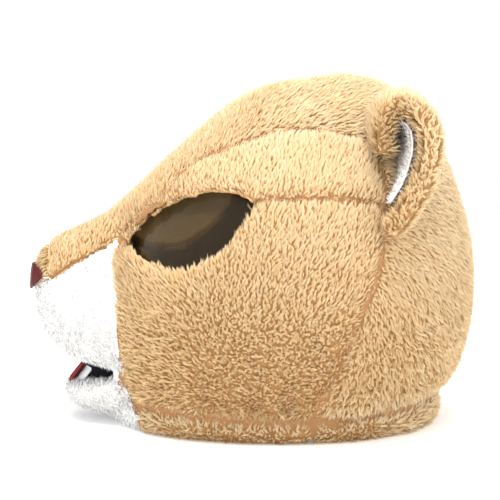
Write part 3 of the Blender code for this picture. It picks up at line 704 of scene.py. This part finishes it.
def grow(node, style, made_of, spacing=None):
    """Pile for one panel, split into several meshes where it is large."""
    global total_tufts
    skin, outer, to_rim = skins[node]
    gap = spacing or STYLES[style][6]
    p, n, rim = sites(skin, outer, to_rim, gap, rng)
    # The upper rim of each eye hole is folded under, so nothing hangs from it, and its pile is clipped short.
    hole = p[:, 1:] - EYE_MIDDLE[1:]
    over_eye = smooth_step(hole[:, 1] - 0.45 * hole[:, 0], 0.0, 0.01) * smooth_step(0.070 - np.hypot(hole[:, 0], 1.3 * hole[:, 1]), 0, 0.02)
    facing_hole = (n[:, 1:] * -unit(hole)).sum(1)
    kept = ~((over_eye > 0.3) & (facing_hole > 0.75))
    if made_of is tan_pile:     # the rear and gathered seams part the pile, and so do the curls low on the cheek
        seam = (rim < SEAM_PART) & (p[:, 1] > -0.09) & (p[:, 2] < 0.20)
        curls = (patches(p, 0.0045, 5) > 0.72) & (p[:, 2] < 0.12) & (p[:, 2] > 0.005)
        kept &= ~(seam | curls) | np.full(len(p), node.startswith("ear_"))
    p, n, rim, over_eye = p[kept], n[kept], rim[kept], over_eye[kept]
    low = smooth_step(0.13 - p[:, 2], 0, 0.05) * smooth_step(p[:, 2], 0.0, 0.01)
    ruffle = low * (0.35 + 0.9 * patches(p, 0.028, 2)) if made_of is tan_pile else None
    scale = (0.82 + 0.18 * smooth_step(rim, 0.0, 0.006)) * (1 - 0.5 * over_eye * smooth_step(0.012 - rim, 0, 0.008))
    scale = scale * (1.25 if node.startswith("ear_") else 1.0)
    # Paleness of each tuft: random tone in patches, plus painted light that makes the pile paler higher up, in the hem
    # band and towards the back.
    tone_and_painted_light = -0.02 + 0.34 * patches(p, 0.02, 1) + 0.5 * smooth_step(p[:, 2], 0.09, 0.27)
    tone_and_painted_light += (0.5 + 0.3 * smooth_step(p[:, 1], 0.06, 0.12)) * smooth_step(0.045 - p[:, 2], 0, 0.02)
    tone_and_painted_light += 0.3 * smooth_step(p[:, 1], 0.09, 0.15)
    tone_and_painted_light -= 0.4 * low * smooth_step(patches(p, 0.0065, 5), 0.52, 0.72)      # painted shade where the curls part: these tufts take the darker colours
    tone_and_painted_light -= 0.35 * (1 - smooth_step(rim, 0, 0.005)) * smooth_step(0.24 - p[:, 2], 0, 0.03)  # painted shade along the seams
    if node in ("ear_left", "ear_right"):   # the rolled inner side is rougher, and painted shade darkens its hollow and its side-on band
        inside = smooth_step(((EAR_HOLLOW - p) * n)[:, 1:].sum(1), -0.002, 0.012)
        side_on = smooth_step(np.abs(n[:, 0]), 0.7, 0.93)
        tone_and_painted_light, ruffle = tone_and_painted_light - 0.55 * np.maximum(inside, side_on * 0.9), np.maximum(inside, side_on) * 0.95
    nap = comb(p, n, node)
    if node == "crown_and_back":
        white = is_under_nose(p)
        tufts("under_nose_pile", p[white], n[white], nap[white], "short", white_pile, rng)
        p, n, nap, scale, tone_and_painted_light, ruffle = (a[~white] for a in (p, n, nap, scale, tone_and_painted_light, ruffle))
    order = np.argsort(p[:, 1])
    parts = max(1, math.ceil(len(p) / MOST_TUFTS))
    for k, chosen in enumerate(np.array_split(order, parts)):
        label = f"{node}_pile" + (f"_{k + 1}" if parts > 1 else "")
        tufts(label, p[chosen], n[chosen], nap[chosen], style, made_of, rng, scale[chosen],
              None if ruffle is None else ruffle[chosen], tone_and_painted_light[chosen])
    total_tufts += len(p)


for node, _, slot_name, _, _ in PANELS:
    if slot_name == "plush_tan":
        grow(node, "long", tan_pile)
    else:
        grow(node, "short", white_pile)
for side in ("left", "right"):
    grow(f"ear_{side}", "long", tan_pile)
    grow(f"ear_lining_{side}", "fine", white_pile)
print("tufts:", total_tufts)

# %% [markdown]
# ## Eyes, nose and mouth
# The eyes are sheets of smoked plastic behind almond holes. A see-through sheet is a shell with a
# thickness, so light is bent and tinted as in the real thing.

# %% Smoked lenses
smoke, smoke_shader = principled("smoked_plastic", 0.05, (0.34, 0.27, 0.165, 1))
smoke_shader.inputs["Transmission Weight"].default_value = 0.97
smoke_shader.inputs["IOR"].default_value = 1.35
smoke_shader.inputs["Specular IOR Level"].default_value = 0.25
smoke_nodes, smoke_wires = smoke.node_tree.nodes, smoke.node_tree.links
ray, clear, either = (smoke_nodes.new("ShaderNode" + kind) for kind in ("LightPath", "BsdfTransparent", "MixShader"))
clear.inputs["Color"].default_value = (0.6, 0.52, 0.42, 1)
smoke_wires.new(ray.outputs["Is Shadow Ray"], either.inputs[0])
smoke_wires.new(smoke_shader.outputs[0], either.inputs[1])
smoke_wires.new(clear.outputs[0], either.inputs[2])
smoke_wires.new(either.outputs[0], smoke_nodes["Material Output"].inputs["Surface"])
LENS_CELL, LENS_THICK = 0.002, 0.0016


def lens(side):
    node = f"lens_{side}"
    low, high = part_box(node)
    source = bmesh.new()
    source.from_mesh(frame["nodes"][node].data)
    bmesh.ops.remove_doubles(source, verts=source.verts, dist=1e-5)
    tree = BVHTree.FromBMesh(source)
    sign = 1 if side == "left" else -1
    bm = bmesh.new()
    ny, nz = int((high.y - low.y) / LENS_CELL), int((high.z - low.z) / LENS_CELL)
    bmesh.ops.create_grid(bm, x_segments=ny, y_segments=nz, size=0.5)
    missed = []
    for v in bm.verts:
        y, z = low.y + (v.co.x + 0.5) * (high.y - low.y), low.z + (v.co.y + 0.5) * (high.z - low.z)
        hit = tree.ray_cast(Vector((sign * 0.3, y, z)), Vector((-sign, 0, 0)))
        if hit[0] is None:
            missed.append(v)
            v.co = (sign * 0.1, y, z)
        else:
            v.co = hit[0]
    bmesh.ops.delete(bm, geom=missed, context="VERTS")
    for _ in range(12):
        inner = [v for v in bm.verts if not v.is_boundary]
        bmesh.ops.smooth_vert(bm, verts=inner, factor=0.5, use_axis_x=True, use_axis_y=False, use_axis_z=False)
    bmesh.ops.recalc_face_normals(bm, faces=bm.faces)
    if sum(f.normal.x for f in bm.faces) * sign < 0:
        bmesh.ops.reverse_faces(bm, faces=bm.faces)
    bmesh.ops.solidify(bm, geom=bm.faces, thickness=LENS_THICK)
    bmesh.ops.recalc_face_normals(bm, faces=bm.faces)
    source.free()
    made = new_object(f"{node}_sheet", bm, [smoke])
    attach(made, "root")
    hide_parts(node)


for side in ("left", "right"):
    lens(side)

# %% Nose, teeth, tongue and the mouth's lining
satin, satin_shader = principled("maroon_satin", 0.55)
satin_shader.inputs["Specular IOR Level"].default_value = 0.25
use_group(satin, knit_tree, {"Dark": (0.045, 0.003, 0.004, 1), "Light": (0.125, 0.009, 0.010, 1), "Size": 1500.0},
          "Colour", satin_shader.inputs["Base Color"])
tongue_cloth = cloth_material("tongue_cloth", (0.16, 0.012, 0.014), (0.32, 0.03, 0.035), 1300.0)
tooth_cloth = cloth_material("tooth_cloth", (0.78, 0.77, 0.80), (0.93, 0.93, 0.95), 1300.0, 0.6)


def soft_part(node, made_of, voxel, lean=0.0):
    """A padded piece that stands for a CAD node, leaned back by a share of its height."""
    bm = soft_copy(node, node, voxel, smooth=3)
    foot = min(v.co.z for v in bm.verts)
    for v in bm.verts:
        v.co.y += lean * (v.co.z - foot)
    made = new_object(f"{node}_cloth", bm, [made_of])
    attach(made, "root")
    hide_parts(node)
    return made


soft_part("nose", satin, 0.0009)
soft_part("teeth", tooth_cloth, 0.0008, 0.8)
soft_part("tongue", tongue_cloth, 0.0011, 0.8)
soft_part("mouth_lining", black_lining, 0.0014)

# %% Sizes, and the end
added = 0
for thing in bpy.data.objects:
    if thing.type == "MESH" and "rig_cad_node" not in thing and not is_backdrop(thing):
        thing.data.calc_loop_triangles()
        added += len(thing.data.loop_triangles)
print("triangles added:", added)
